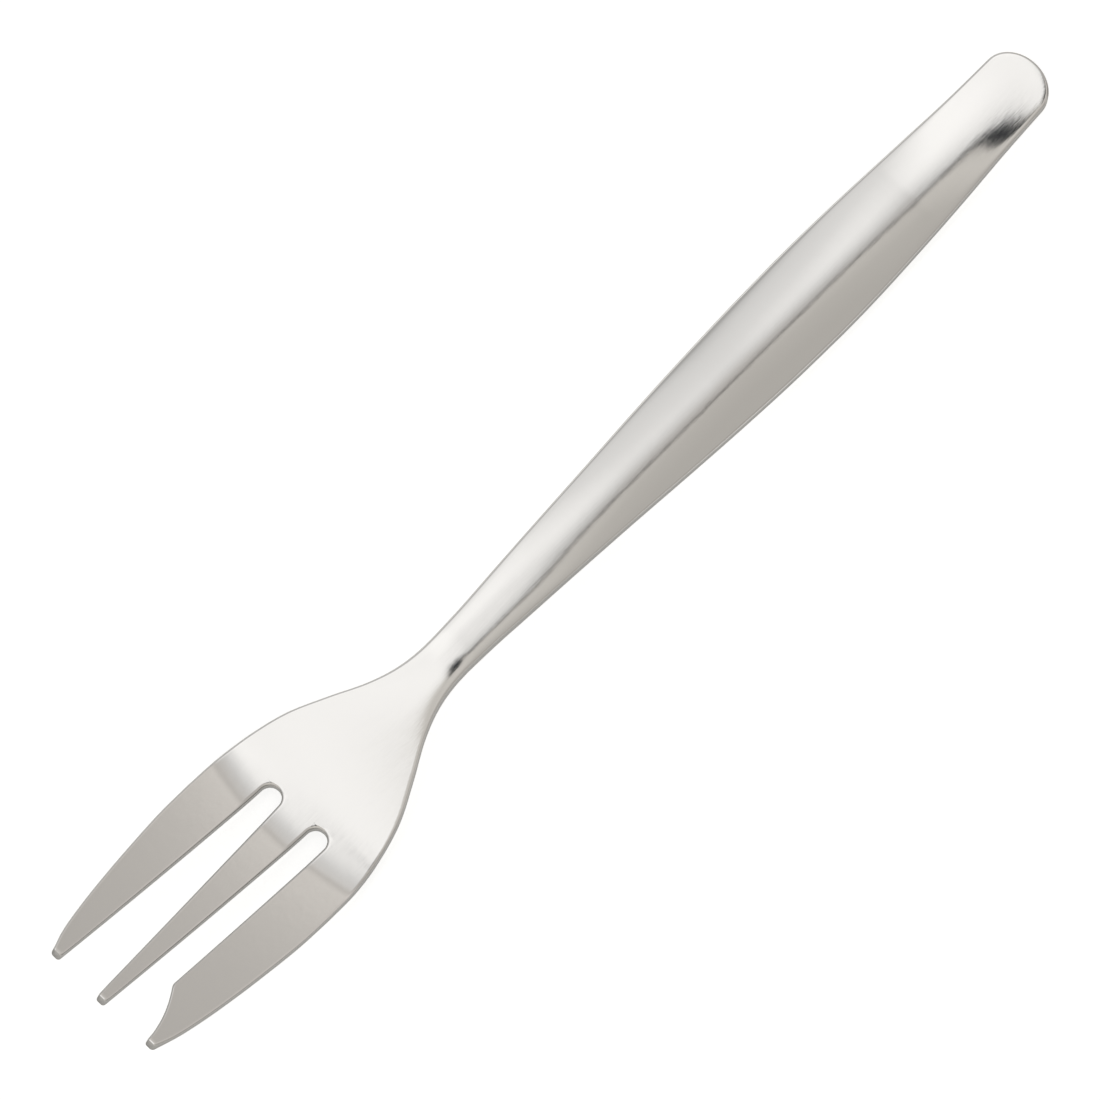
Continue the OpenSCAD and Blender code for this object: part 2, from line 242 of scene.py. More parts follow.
# %% [markdown]
# The dome of the handle is deepest a little before its middle, and fades to an almost flat palm. The
# hollow under it is slightly shallower than the dome is high. The sheet is thickest at the neck, where a
# fork bends in use, and thinnest at the tips.

# %% Depth of the dome and thickness of the sheet
DOME_DEPTH, HEAD_CROWN, HOLLOW = 1.03, 0.04, 0.85
DOME = [[0, 0], [0.04, 0.035], [0.083, 0.125], [0.13, 0.275], [0.18, 0.455], [0.25, 0.65],
        [0.36, 0.94], [0.44, 1], [0.52, 0.965], [0.62, 0.75], [0.72, 0.525], [0.785, 0.36],
        [0.855, 0.195], [0.93, 0.12], [1, 0.09]]
HANDLE_T, NECK_T, PALM_T, TIP_T = 1.8, 2.2, 1.7, 1.4


def dome_depth(x):
    handle = DOME_DEPTH * fair_curve(DOME, x / NECK_X)
    palm = between(DOME_DEPTH * DOME[-1][1], HEAD_CROWN, eased((x - NECK_X) / (ROOT_X - NECK_X)))
    return np.where(x < NECK_X, handle, palm)


def thickness(x):
    handle = between(HANDLE_T, NECK_T, eased((x - WIDEST_X) / (ARCH_X - WIDEST_X)))
    palm = between(NECK_T, PALM_T, eased((x - ARCH_X) / (HEEL_X - ARCH_X)))
    tines = between(PALM_T, TIP_T, (x - HEEL_X) / (FORK_LENGTH - HEEL_X))
    return np.where(x < ARCH_X, handle, np.where(x < HEEL_X, palm, tines))


for place in (WIDEST_X, ARCH_X, HEEL_X, FORK_LENGTH):
    print(f"{place:6.1f} mm from the end: sheet {float(thickness(np.array(place))):.2f} mm")

# %% [markdown]
# ## Across the fork
# Across its width the handle is domed, and the bend at the heel bows towards the tips in the middle, as
# a press tool leaves it. Where the handle narrows to the neck, the press squeezes the dome to a rounder
# shoulder, and this shoulder is what bends the long reflection there.

# %% Upper and lower side at any place on the sheet
BEND_BOW, BOW_RUN = 1.3, 3.0
NECK_POWER, NECK_EXTRA = 1.0, 0.45
SQUEEZE_X, SQUEEZE_RUN, RELEASE_X, RELEASE_RUN = 76.0, 10.0, 96.0, 8.0


def surface(x, y):
    """Heights of the upper and the lower side at a place on the sheet, before its edges are rounded."""
    half = np.maximum(half_width(np.minimum(x, SHOULDER_X)), NECK_W / 2)
    at_neck = eased((x - SQUEEZE_X) / SQUEEZE_RUN) * (1 - eased((x - RELEASE_X) / RELEASE_RUN))
    dome = dome_depth(x) * (1 + NECK_EXTRA * at_neck) * np.abs(y / half) ** (2 + NECK_POWER * at_neck)
    bow = BEND_BOW * eased((x - HEEL_X + BOW_RUN) / BOW_RUN) * (2 * y / HEAD_W) ** 2
    upper = crown_height(x + bow) - dome
    return upper, upper - thickness(x) + (1 - HOLLOW) * dome


middle, side = (float(surface(np.array(WIDEST_X), np.array(y))[0]) for y in (0.0, HANDLE_W / 2))
print(f"The handle's sides lie {middle - side:.2f} mm below its middle")

# %% [markdown]
# ## The tumbled edge
# Grit in the drum wears every cut edge to a small round. That round catches a thin line of light or of
# dark along the whole outline, and without it the fork would look like cut card. It is real geometry:
# near a free edge the upper side falls and the lower side rises along a quarter circle. Along the
# handle the wear also reaches a little farther in, as a very shallow roll that softens the line.

# %% Drop of the surface near an edge
ROLL_WIDTH, ROLL_DEPTH, ROLL_FADE = 0.9, 0.025, 10.0


def tumbled(distance):
    """Drop of the quarter round at a distance from a free edge."""
    inward = np.clip(EDGE_R - np.clip(distance, 0, None), 0, EDGE_R)
    return EDGE_R - np.sqrt(EDGE_R ** 2 - inward ** 2)


def rolled(x, distance):
    """The shallow roll inside the round, which fades out past the neck."""
    fade = 1 - eased((x - NECK_X) / ROLL_FADE)
    return ROLL_DEPTH * fade * np.clip(1 - distance / ROLL_WIDTH, 0, None) ** 2


def from_round_end(x, y):
    """Distance from the elliptical end, nearly: what its equation gives, divided by its slope."""
    p, q = (END_ROUND - x) / END_ROUND, 2 * y / END_W
    steep = 2 * np.sqrt((p / END_ROUND) ** 2 + (2 * q / END_W) ** 2) + 1 / FORK_LENGTH
    return np.where(x >= END_ROUND, END_ROUND, (1 - p * p - q * q) / steep)


def from_slot_bottoms(x, y):
    """Distance from the round bottom of the nearer slot."""
    distances = [np.hypot(x - SLOT_ARC_X, y - side * SLOT_Y) - SLOT_W / 2 for side in (-1, 1)]
    return np.where(x > SLOT_ARC_X, HEAD_W, np.minimum(*distances))


print("The edge drops", [round(float(tumbled(np.array(d))), 3) for d in (0, 0.1, 0.2, 0.3)], "mm")

# %% [markdown]
# ## A grid that follows the steel
# The mesh is a grid of rows across the fork. Up to the slots a row crosses three bands, one for each
# tine, and past the slots each band goes on by itself. The columns crowd together in the tumbled round
# of a free edge, and in a very narrow band the rounds take a share of its width instead. Near the tines
# the columns also crowd just inside the round, so that its shading doesn't spread over the flat steel.
# A grid like this gives clean reflections, which a cut-out shape with a bevel would not.

# %% Where the columns and rows stand
STRIPS, EDGE_COLUMNS = 24, 6
EDGE_SHARES = 1 - np.cos(np.linspace(0, math.pi / 2, EDGE_COLUMNS + 1))
ROW_STEP = 0.4
ROUND_LIMIT = 0.4
CROWDING, CROWDING_START, CROWDING_RUN = 0.85, 104.0, 9.0


def band_columns(x, low, high, free_low, free_high):
    """Columns from low to high, crowded at each side as far as that side is free, from 0 to 1."""
    even = low + (high - low) * np.linspace(0, 1, STRIPS + 1)
    round_w = min(EDGE_R, ROUND_LIMIT * (high - low))
    turns = 2 * math.pi * np.linspace(0, 1, STRIPS + 1 - 2 * EDGE_COLUMNS)
    crowding = CROWDING * float(eased((x - CROWDING_START) / CROWDING_RUN))
    shares = (turns - crowding * np.sin(turns)) / (2 * math.pi)
    inner = between(low + round_w, high - round_w, shares)
    crowded = np.concatenate([
        low + round_w * EDGE_SHARES[:-1], inner, high - round_w * EDGE_SHARES[-2::-1]])
    freedom = np.where(np.arange(STRIPS + 1) <= STRIPS / 2, free_low, free_high)
    return between(even, crowded, freedom)


def even_rows(start, end):
    """Rows after start and up to end, at most ROW_STEP apart."""
    return np.linspace(start, end, max(2, math.ceil((end - start) / ROW_STEP) + 1))[1:]


END_ROWS = 24
end_angles = np.linspace(0, math.pi / 2, END_ROWS + 1)[2:]
body_rows = np.concatenate([
    [0.0], END_ROUND * (1 - np.cos(end_angles)), even_rows(END_ROUND, ROOT_X - 2 * EDGE_R),
    ROOT_X - EDGE_R * (1 - np.sin(np.linspace(0, math.pi / 2, EDGE_COLUMNS + 1)))])
print(len(body_rows), "rows from the handle end to the slots")

# %% [markdown]
# The rows of a tine start just past the bottom of the slot, follow its round, stand close together at
# the notch's corner, and end on the quarter circle that blunts the tip.

# %% Rows along a tine
ARC_ROWS, CORNER_ROWS = 10, 6


def tine_rows(tine):
    tip = TIP_XS[tine] - EDGE_R
    quarter = np.linspace(0, math.pi / 2, ARC_ROWS + 1)[1:]
    return np.concatenate([
        ROOT_X + SLOT_W / 2 * (1 - np.cos(quarter)),
        even_rows(SLOT_ARC_X, NOTCH_X - EDGE_R),
        np.linspace(NOTCH_X - EDGE_R, NOTCH_X + EDGE_R, CORNER_ROWS + 1)[1:],
        even_rows(NOTCH_X + EDGE_R, tip),
        tip + EDGE_R * np.sin(np.linspace(0, math.pi / 2, EDGE_COLUMNS + 1)[1:])])


print(len(tine_rows(1)), "rows along each tine")

# %% [markdown]
# Each row gives its points on the upper side and then on the lower side, each lowered or raised by the
# tumbled edge. The distance to the nearest edge is kept too: the metal is rougher there, with painted
# shade in a greyer tint. The end faces of the tines stand square to the rising sheet, so the upper side
# ends a little before the lower.

# %% The points of a row
TIP_LEAN, LEAN_RUN = 0.4, 2.5


def row_points(x, ys, to_edge, lean=0.0):
    """Points of both sides along one row, and their distances to the nearest edge."""
    upper = surface(x - lean, ys)[0]
    lower = surface(x, ys)[1]
    drop = tumbled(to_edge) + rolled(x, to_edge)
    xs = np.full(ys.shape, x)
    points = np.concatenate([
        np.stack([xs - lean, ys, upper - drop], 1), np.stack([xs, ys, lower + drop], 1)])
    return points, np.concatenate([to_edge, to_edge])


print("The upper side of a tine ends", TIP_LEAN, "mm before the lower side")

# %% [markdown]
# A row of the body knows the sides of the fork, its round end and the two slots. A row of a tine knows
# the tine's own edges and its tip. Towards the slots, the columns draw apart into the bands little by
# little.

# %% Rows of the body and of the tines
def body_row(i):
    x = body_rows[i]
    half = END_W / 2 * math.sin(end_angles[0] / 2) if i == 0 else float(half_width(np.array(x)))
    border = half * SLOT_Y / float(half_width(np.array(ROOT_X)))
    near_slot = float(eased((x - ROOT_X + 2 * SLOT_Y) / (2 * SLOT_Y)))
    ys = np.concatenate([band_columns(x, -half, -border, 1, near_slot)[:-1],
                         band_columns(x, -border, border, near_slot, near_slot)[:-1],
                         band_columns(x, border, half, near_slot, 1)])
    to_side = half - np.abs(ys)
    to_edge = np.minimum(np.minimum(to_side, from_round_end(x, ys)), from_slot_bottoms(x, ys))
    return row_points(x, ys, np.zeros_like(ys) if i == 0 else to_edge)


def tine_row(tine, x):
    low, high = (float(edge[0]) for edge in tine_edges(tine, np.array([x])))
    ys = band_columns(x, low, high, 1, 1)
    to_edge = np.minimum(np.minimum(ys - low, high - ys), TIP_XS[tine] - x)
    lean = TIP_LEAN * float(eased((x - TIP_XS[tine] + LEAN_RUN) / LEAN_RUN))
    return row_points(x, ys, np.minimum(to_edge, from_slot_bottoms(x, ys)), lean)


print("A row has", len(body_row(0)[0]), "points, and", len(tine_row(1, NOTCH_X)[0]), "on a tine")

# %% [markdown]
# ## Joining the rows with faces
# Four neighbouring points make a face. The rows' edges are closed by a wall, and so are the round end
# and the tips. Every face is listed with its outside facing out, so no clean-up is needed.

# %% Faces between the rows
BODY_COLUMNS = 3 * STRIPS + 1


def sheet_faces(upper, lower):
    """Faces of one stretch of sheet from its grids of point numbers: two sides and two walls."""
    faces = []
    for grid, flip in ((upper, False), (lower, True)):
        a, b, c, d = grid[:-1, :-1], grid[1:, :-1], grid[1:, 1:], grid[:-1, 1:]
        quads = np.stack([a, d, c, b] if flip else [a, b, c, d], -1)
        faces.append(quads.reshape(-1, 4))
    for column, flip in ((0, False), (-1, True)):
        top, bottom = upper[:, column], lower[:, column]
        quads = [top[:-1], bottom[:-1], bottom[1:], top[1:]]
        faces.append(np.stack(quads[::-1] if flip else quads, -1))
    return faces


def end_wall(top, bottom, flip):
    quads = [top[:-1], bottom[:-1], bottom[1:], top[1:]]
    return np.stack(quads if flip else quads[::-1], -1)


print("A wall of two points each way has", len(end_wall(np.arange(2), np.arange(2, 4), False)), "face")

# %% [markdown]
# The first row of each tine is the last row of the body, so the whole fork is one closed skin with no
# seam at the slots, as the real strip has none.

# %% Build the fork
def build_fork():
    rows = [body_row(i) for i in range(len(body_rows))]
    numbers = np.arange(len(rows) * 2 * BODY_COLUMNS).reshape(len(rows), 2, BODY_COLUMNS)
    faces = sheet_faces(numbers[:, 0], numbers[:, 1])
    faces.append(end_wall(numbers[0, 0], numbers[0, 1], False))
    count = numbers.size
    for tine in range(3):
        places = tine_rows(tine)
        rows += [tine_row(tine, x) for x in places]
        own = count + np.arange(len(places) * 2 * (STRIPS + 1)).reshape(len(places), 2, STRIPS + 1)
        root = numbers[-1, :, tine * STRIPS:(tine + 1) * STRIPS + 1]
        grid = np.concatenate([root[None], own])
        faces += sheet_faces(grid[:, 0], grid[:, 1])
        faces.append(end_wall(grid[-1, 0], grid[-1, 1], True))
        count += own.size
    points = np.concatenate([row[0] for row in rows])
    to_edge = np.concatenate([row[1] for row in rows])
    return points, to_edge, np.concatenate(faces)


points, to_edge, faces = build_fork()
print(len(points), "points and", len(faces), "faces")

# %% [markdown]
# ## Setting it down
# The measured part is centred over the origin, with its lowest place on the table. The mesh is set down
# in the same way, and scaled by a hair where it would stand out of the measured box.

# %% Place the fork in the frame
measured = np.array(measured_box) / MM
fit = np.minimum(np.ptp(measured, axis=0) / np.ptp(points, axis=0), 1.0)
points *= fit
middle = (points.min(0) + points.max(0)) / 2
points += [*(measured.mean(0) - middle)[:2], -points[:, 2].min()]
print("Fitted inside the measured box by a factor of", fit.round(5))
mesh = bpy.data.meshes.new("pastry_fork")
mesh.from_pydata((points * MM).tolist(), [], faces.tolist())
mesh.validate()
mesh.shade_smooth()
wear = mesh.attributes.new("edge_distance_mm", "FLOAT", "POINT")
wear.data.foreach_set("value", to_edge.astype(np.float32))
fork = bpy.data.objects.new("pastry_fork", mesh)
bpy.context.scene.collection.objects.link(fork)
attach(fork, "root")
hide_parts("fork")
print("Lowest and highest corner, mm:", points.min(0).round(3), points.max(0).round(3))

# %% [markdown]
# ## The steel
# Cutlery like this is 18/0 or 18/10 stainless steel. Polishing with a fine wheel along the length
# leaves a satin gloss: sharp enough to mirror a lamp's edge, but drawn out by fine lengthwise lines.
# Stainless steel mirrors about three to four fifths of the light, with a slightly warm tint.

# %% Helpers for colours and nodes
def linear(hex_colour):
    """An sRGB hex colour as the linear values that a shader wants."""
    channels = [int(hex_colour[i:i + 2], 16) / 255 for i in (1, 3, 5)]
    return [c / 12.92 if c <= 0.04045 else ((c + 0.055) / 1.055) ** 2.4 for c in channels] + [1.0]


def node(tree, kind, settings=None, inputs=None):
    """Adds a node, sets its options, and gives each input its value or its link."""
    made = tree.nodes.new(kind)
    for name, value in (settings or {}).items():
        setattr(made, name, value)
    for name, value in (inputs or {}).items():
        if isinstance(value, bpy.types.NodeSocket):
            tree.links.new(value, made.inputs[name])
        else:
            made.inputs[name].default_value = value
    return made


print("Mid grey #808080 is linear", round(linear("#808080")[0], 3))

# %% [markdown]
# The polishing lines are about 0.03 mm apart on the real fork. That is too fine to show, so they are
# drawn 0.14 mm apart and 3 mm long. Under them the tumbled skin is very slightly wavy, as orange peel
# is. Both are shallow bumps: they break up the edges of every reflection and change no outline.

# %% Polishing lines and tumbled skin
GRAIN_MM, GRAIN_LENGTH_MM, GRAIN_DEPTH_MM, GRAIN_STRENGTH = 0.14, 3.0, 0.004, 0.5
GRAIN_DETAIL, GRAIN_FINENESS = 3.0, 0.6
PEEL_MM, PEEL_DEPTH_MM, PEEL_STRENGTH, PEEL_DETAIL = 1.6, 0.02, 0.2, 2.0

steel = bpy.data.materials.new("satin_polished_stainless_steel")
steel.use_nodes = True
tree = steel.node_tree
tree.nodes.clear()
place = node(tree, "ShaderNodeTexCoord").outputs["Object"]
in_grain = node(tree, "ShaderNodeMapping", inputs={"Vector": place, "Scale": [
    1 / (size * MM) for size in (GRAIN_LENGTH_MM, GRAIN_MM, GRAIN_MM)]})
grain = node(tree, "ShaderNodeTexNoise", inputs={
    "Vector": in_grain.outputs[0], "Scale": 1.0, "Detail": GRAIN_DETAIL,
    "Roughness": GRAIN_FINENESS}).outputs["Fac"]
peel = node(tree, "ShaderNodeTexNoise", inputs={
    "Vector": place, "Scale": 1 / (PEEL_MM * MM), "Detail": PEEL_DETAIL}).outputs["Fac"]
wavy = node(tree, "ShaderNodeBump", inputs={
    "Strength": PEEL_STRENGTH, "Distance": PEEL_DEPTH_MM * MM, "Height": peel})
lined = node(tree, "ShaderNodeBump", inputs={
    "Strength": GRAIN_STRENGTH, "Distance": GRAIN_DEPTH_MM * MM, "Height": grain,
    "Normal": wavy.outputs[0]})
print("Lines", GRAIN_MM, "mm apart, waves", PEEL_MM, "mm apart")

# %% [markdown]
# The wheel polishes the faces and hardly reaches the punched edges. These stay as the drum left them,
# duller and rougher. Near every edge the steel is also tinted greyer and mirrors less at a low angle:
# that is painted shade, for the shaded table the edges would mirror. The distance kept with each point
# of the mesh says where that is.

# %% Satin-polished stainless steel
# The edge colour and the weaker edge glance are painted shade: the steel turns greyer towards every edge.
STEEL_HEX, STEEL_PAINTED_SHADE_EDGE_HEX = "#E7E5E2", "#AEACA8"
GLANCE, EDGE_PAINTED_SHADE_GLANCE = (1, 1, 1, 1), (0.6, 0.6, 0.6, 1)
GRAIN_LOW, GRAIN_HIGH = 0.3, 0.7
ROUGH_LEAST, ROUGH_MOST, EDGE_ROUGHER = 0.06, 0.1, 0.25
DULL_AND_SHADED_MM, POLISHED_MM = 0.05, 0.14

edge_distance = node(tree, "ShaderNodeAttribute", {"attribute_name": "edge_distance_mm"}).outputs["Fac"]
# This mask makes the edges rougher, which is real, and greyer, which is painted shade.
dull_and_shaded_edge = node(tree, "ShaderNodeMapRange", {"interpolation_type": "SMOOTHSTEP"}, {
    "Value": edge_distance, "From Min": DULL_AND_SHADED_MM, "From Max": POLISHED_MM,
    "To Min": 1.0, "To Max": 0.0}).outputs[0]
tint, glance = (
    node(tree, "ShaderNodeMix", {"data_type": "RGBA"}, {0: dull_and_shaded_edge, 6: face, 7: edge}).outputs[2]
    for face, edge in ((linear(STEEL_HEX), linear(STEEL_PAINTED_SHADE_EDGE_HEX)), (GLANCE, EDGE_PAINTED_SHADE_GLANCE)))
face_rough = node(tree, "ShaderNodeMapRange", inputs={
    "Value": grain, "From Min": GRAIN_LOW, "From Max": GRAIN_HIGH,
    "To Min": ROUGH_LEAST, "To Max": ROUGH_MOST})
rough = node(tree, "ShaderNodeMath", {"operation": "MULTIPLY_ADD"}, {
    0: dull_and_shaded_edge, 1: EDGE_ROUGHER, 2: face_rough.outputs[0]})
metal = node(tree, "ShaderNodeBsdfPrincipled", inputs={
    "Metallic": 1.0, "Base Color": tint, "Specular Tint": glance, "Roughness": rough.outputs[0],
    "Normal": lined.outputs[0]})
node(tree, "ShaderNodeOutputMaterial", inputs={"Surface": metal.outputs[0]})
mesh.materials.append(steel)
print("Steel mirrors", [round(c, 2) for c in linear(STEEL_HEX)[:3]], "of the light")

# %% [markdown]
# ## The camera
# The fork is seen from almost straight above, from the side of its cutting tine, through a long lens.
# A long lens keeps the two ends at the same scale, as product photographs do.

# %% Place the camera
CAMERA_AZIMUTH, CAMERA_ELEVATION, CAMERA_ROLL = 43.8941, 77.0, 0.0181
CAMERA_DISTANCE = 900.0
CAMERA_TARGET = Vector((3.1696, -0.5704, 2.0))
PIXELS_PER_MM, IMAGE_PIXELS, SENSOR_MM, FARTHEST_SEEN_M = 9.2584, 1100, 36.0, 100.0

azimuth, elevation = math.radians(CAMERA_AZIMUTH), math.radians(CAMERA_ELEVATION)
toward_camera = Vector((math.cos(elevation) * math.cos(azimuth),
                        math.cos(elevation) * math.sin(azimuth), math.sin(elevation)))
level_right = Vector((0, 0, 1)).cross(toward_camera).normalized()
level_up = toward_camera.cross(level_right)
roll = math.radians(CAMERA_ROLL)
right = level_right * math.cos(roll) + level_up * math.sin(roll)
up = level_up * math.cos(roll) - level_right * math.sin(roll)
camera_data = bpy.data.cameras.new("camera")
camera_data.sensor_width = SENSOR_MM
camera_data.lens = PIXELS_PER_MM * CAMERA_DISTANCE / IMAGE_PIXELS * SENSOR_MM
camera_data.clip_end = FARTHEST_SEEN_M
camera = bpy.data.objects.new("camera", camera_data)
turn = Matrix((right, up, toward_camera)).transposed().to_4x4()
camera.matrix_world = Matrix.Translation((CAMERA_TARGET + toward_camera * CAMERA_DISTANCE) * MM) @ turn
bpy.context.scene.collection.objects.link(camera)
bpy.context.scene.camera = camera
print(f"Lens {camera_data.lens:.1f} mm")

# %% [markdown]
# ## The studio
# Polished metal shows little of its own: it shows the room. The room here has plain parts. A large soft
# white panel hangs over one side, and its edge runs slantwise over the fork. A narrow dark gap follows
# that edge, a warm grey wall fills the side beyond it, and a lighter wall stands farther off. The gap
# draws the fine dark line along the handle, and a small dark thing beside the lens draws the dark
# patches at the handle's end and at the neck.
#
# Lamps and boards could make such a room. Here it is drawn on the world instead, as a flat map of the sky
# that a fisheye lens would see from the fork: up on the map is away from the camera, and the sine of the
# angle from straight up is the distance from the middle. So each tone stands just where a slope of the
# metal looks for it, and the fork may turn under it as under a real room.

# %% A map of the room by direction
def sine(degrees):
    return math.sin(math.radians(degrees))


def on_map(right_degrees, up_degrees):
    return sine(right_degrees), sine(up_degrees), 0.0


def way_on_map(degrees):
    return math.cos(math.radians(degrees)), sine(degrees), 0.0


AWAY_FROM_CAMERA = Vector((-math.cos(azimuth), -math.sin(azimuth), 0))

world = bpy.data.worlds.new("studio")
bpy.context.scene.world = world
world.use_nodes = True
tree = world.node_tree
tree.nodes.clear()
sky = node(tree, "ShaderNodeTexCoord").outputs["Generated"]
map_right, map_up = (
    node(tree, "ShaderNodeVectorMath", {"operation": "DOT_PRODUCT"}, {0: sky, 1: way}).outputs["Value"]
    for way in (level_right, AWAY_FROM_CAMERA))
spot = node(tree, "ShaderNodeCombineXYZ", inputs={"X": map_right, "Y": map_up}).outputs[0]
print("30 degrees to the right lies", round(on_map(30, 0)[0], 2), "from the middle of the map")

# %% [markdown]
# Three measures find a spot on the map: its distance from a place, its bearing, and how far it lies
# along a way, which is a plain dot product.

# %% Measures on the map
DOT, LESS, PLUS = {"operation": "DOT_PRODUCT"}, {"operation": "SUBTRACT"}, {"operation": "ADD"}


def distance_of(offset, shape=(1, 1, 1)):
    shaped = node(tree, "ShaderNodeVectorMath", {"operation": "MULTIPLY"}, {0: offset, 1: shape})
    length = node(tree, "ShaderNodeVectorMath", {"operation": "LENGTH"}, {0: shaped.outputs[0]})
    return length.outputs["Value"]


def bearing_of(offset):
    parts = node(tree, "ShaderNodeSeparateXYZ", inputs={0: offset}).outputs
    angle = node(tree, "ShaderNodeMath", {"operation": "ARCTAN2"}, {0: parts["Y"], 1: parts["X"]})
    return node(tree, "ShaderNodeMath", {"operation": "DEGREES"}, {0: angle.outputs[0]}).outputs[0]


from_middle, bearing_from_middle = distance_of(spot), bearing_of(spot)
print("The measures took", len(tree.nodes), "nodes so far")

# %% [markdown]
# A tone curve then turns a measure into light, from a few points read off the reflections, and the
# tones of the room are mixed, multiplied or added up.

# %% Tone curves
def tones(measure, stops):
    """A grey for each value of a measure, from a list of (value, grey)."""
    low, high = stops[0][0], stops[-1][0]
    share = node(tree, "ShaderNodeMapRange", inputs={"Value": measure, "From Min": low, "From Max": high})
    made = node(tree, "ShaderNodeValToRGB", inputs={"Fac": share.outputs[0]})
    elements = made.color_ramp.elements
    while len(elements) < len(stops):
        elements.new(0.5)
    for element, (value, grey) in zip(elements, stops):
        element.position = (value - low) / (high - low)
        element.color = (grey, grey, grey, 1)
    return made.outputs["Color"]


def by_angle(*stops):
    """Stops given in degrees on the map, as the sines that the measures use."""
    return [(sine(degrees), grey) for degrees, grey in stops]


MIX = {"data_type": "RGBA"}
TIMES = {"data_type": "RGBA", "blend_type": "MULTIPLY"}
SUM = {"data_type": "RGBA", "blend_type": "ADD"}
print("A tone curve has stops like", by_angle((0, 1.0), (30, 0.5)))

# %% [markdown]
# The panel is brightest near its middle and dims outwards. Its right part is a little brighter and
# warmer, from the wall beside it.

# %% The white panel
PANEL_MIDDLE = on_map(-12, 8)
PANEL_COLOUR, PANEL_WARM_COLOUR = (1.19, 1.19, 1.19, 1), (1.34, 1.285, 1.23, 1)
PANEL_WARMTH = by_angle((4, 0.0), (13, 1.0))
FARTHEST = 1.2
PANEL_TONES = by_angle((0, 0.97), (7, 1.0), (11, 0.99), (16, 0.87), (22, 0.725), (30, 0.66),
                       (36, 0.52), (55, 0.45), (75, 0.25)) + [(FARTHEST, 0.15)]

warmth = tones(map_right, PANEL_WARMTH)
from_panel = node(tree, "ShaderNodeVectorMath", LESS, {0: spot, 1: PANEL_MIDDLE}).outputs[0]
panel_tint = node(tree, "ShaderNodeMix", MIX, {
    0: warmth, 6: PANEL_COLOUR, 7: PANEL_WARM_COLOUR}).outputs[2]
panel_light = node(tree, "ShaderNodeMix", TIMES, {
    0: 1.0, 6: tones(distance_of(from_panel), PANEL_TONES), 7: panel_tint}).outputs[2]
print("The panel's light falls from", PANEL_TONES[1][1], "to", PANEL_TONES[-1][1])

# %% [markdown]
# The edge of the panel starts at a place on the map and runs up and to the right, with a slight bend on
# the way. Two measures follow from it: how far up the edge a spot lies, and at what bearing from the
# start of the edge.

# %% The panel's slanting edge
EDGE_START, EDGE_BEARING = on_map(-12, -4), 37.8
EDGE_BEND, EDGE_BEND_TONES = sine(1.0), by_angle((17.5, 1.0), (21.5, 0.0))
ALONG_EDGE, ACROSS_EDGE = way_on_map(EDGE_BEARING), way_on_map(EDGE_BEARING - 90)

from_start = node(tree, "ShaderNodeVectorMath", LESS, {0: spot, 1: EDGE_START}).outputs[0]
up_the_edge = node(tree, "ShaderNodeVectorMath", DOT, {0: ALONG_EDGE, 1: from_start}).outputs["Value"]
bend = node(tree, "ShaderNodeVectorMath", {"operation": "MULTIPLY"}, {
    0: tones(up_the_edge, EDGE_BEND_TONES), 1: [EDGE_BEND * part for part in ACROSS_EDGE]})
from_edge = node(tree, "ShaderNodeVectorMath", PLUS, {0: from_start, 1: bend.outputs[0]}).outputs[0]
bearing = bearing_of(from_edge)
print("The edge climbs at", EDGE_BEARING, "degrees")

# %% [markdown]
# That bearing decides between the panel on one side and the warm wall on the other. The panel also dims
# towards its edge, as fabric over a lamp does, and less so where the edge begins.

# %% Panel on one side of the edge, warm wall on the other
WALL_COLOUR = (0.655, 0.635, 0.605, 1)
WALL_TONES = by_angle((-4, 1.0), (2, 1.04), (6, 1.04), (10, 0.96), (15, 0.85), (25, 0.79), (40, 0.79),
                      (70, 0.6), (90, 0.5))
IS_PANEL = [(-180, 1.0), (-100, 1.0), (-60, 0.0), (37.3, 0.0), (38.3, 1.0), (180, 1.0)]
IS_WALL = [(degrees, 1.0 - grey) for degrees, grey in IS_PANEL]
EDGE_TONES = [(-180, 1.0), (-100, 1.0), (-60, 0.0), (37.3, 0.0), (38.3, 0.52), (42, 0.56), (48, 0.69),
              (52.5, 0.80), (60, 0.925), (67, 1.0), (180, 1.0)]
EDGE_LIFT = by_angle((16, 0.45), (27, 0.0))
WHITE = (1, 1, 1, 1)

wall_light = node(tree, "ShaderNodeMix", TIMES, {
    0: 1.0, 6: tones(map_right, WALL_TONES), 7: WALL_COLOUR}).outputs[2]
lifted = node(tree, "ShaderNodeMix", MIX, {
    0: tones(up_the_edge, EDGE_LIFT), 6: tones(bearing, EDGE_TONES), 7: WHITE}).outputs[2]
edge_tone = node(tree, "ShaderNodeMix", TIMES, {0: 1.0, 6: lifted, 7: tones(bearing, IS_PANEL)}).outputs[2]
panel_part = node(tree, "ShaderNodeMix", TIMES, {0: 1.0, 6: panel_light, 7: edge_tone}).outputs[2]
wall_part = node(tree, "ShaderNodeMix", TIMES, {
    0: 1.0, 6: wall_light, 7: tones(bearing, IS_WALL)}).outputs[2]
upper_room = node(tree, "ShaderNodeMix", SUM, {0: 1.0, 6: panel_part, 7: wall_part}).outputs[2]
print("The wall has", round(WALL_COLOUR[0] / PANEL_COLOUR[0], 2), "of the panel's light")

# %% [markdown]
# Near its start the edge is softer and less steep, since the panel curls away there. Its slow change of
# tone is what shades the neck and the sides of the palm.

# %% The soft start of the edge
SOFT_START, SOFT_BEARING, SOFT_PANEL = on_map(-2.3, 0.4), 33, (0.955, 0.955, 0.955, 1)
SOFT_TONES = by_angle((-4.5, 1.0), (-2.0, 0.80), (-0.8, 0.5), (0.5, 0.12), (1.5, 0.0))
SOFT_REACH = by_angle((8.5, 0.0), (11, 1.0))

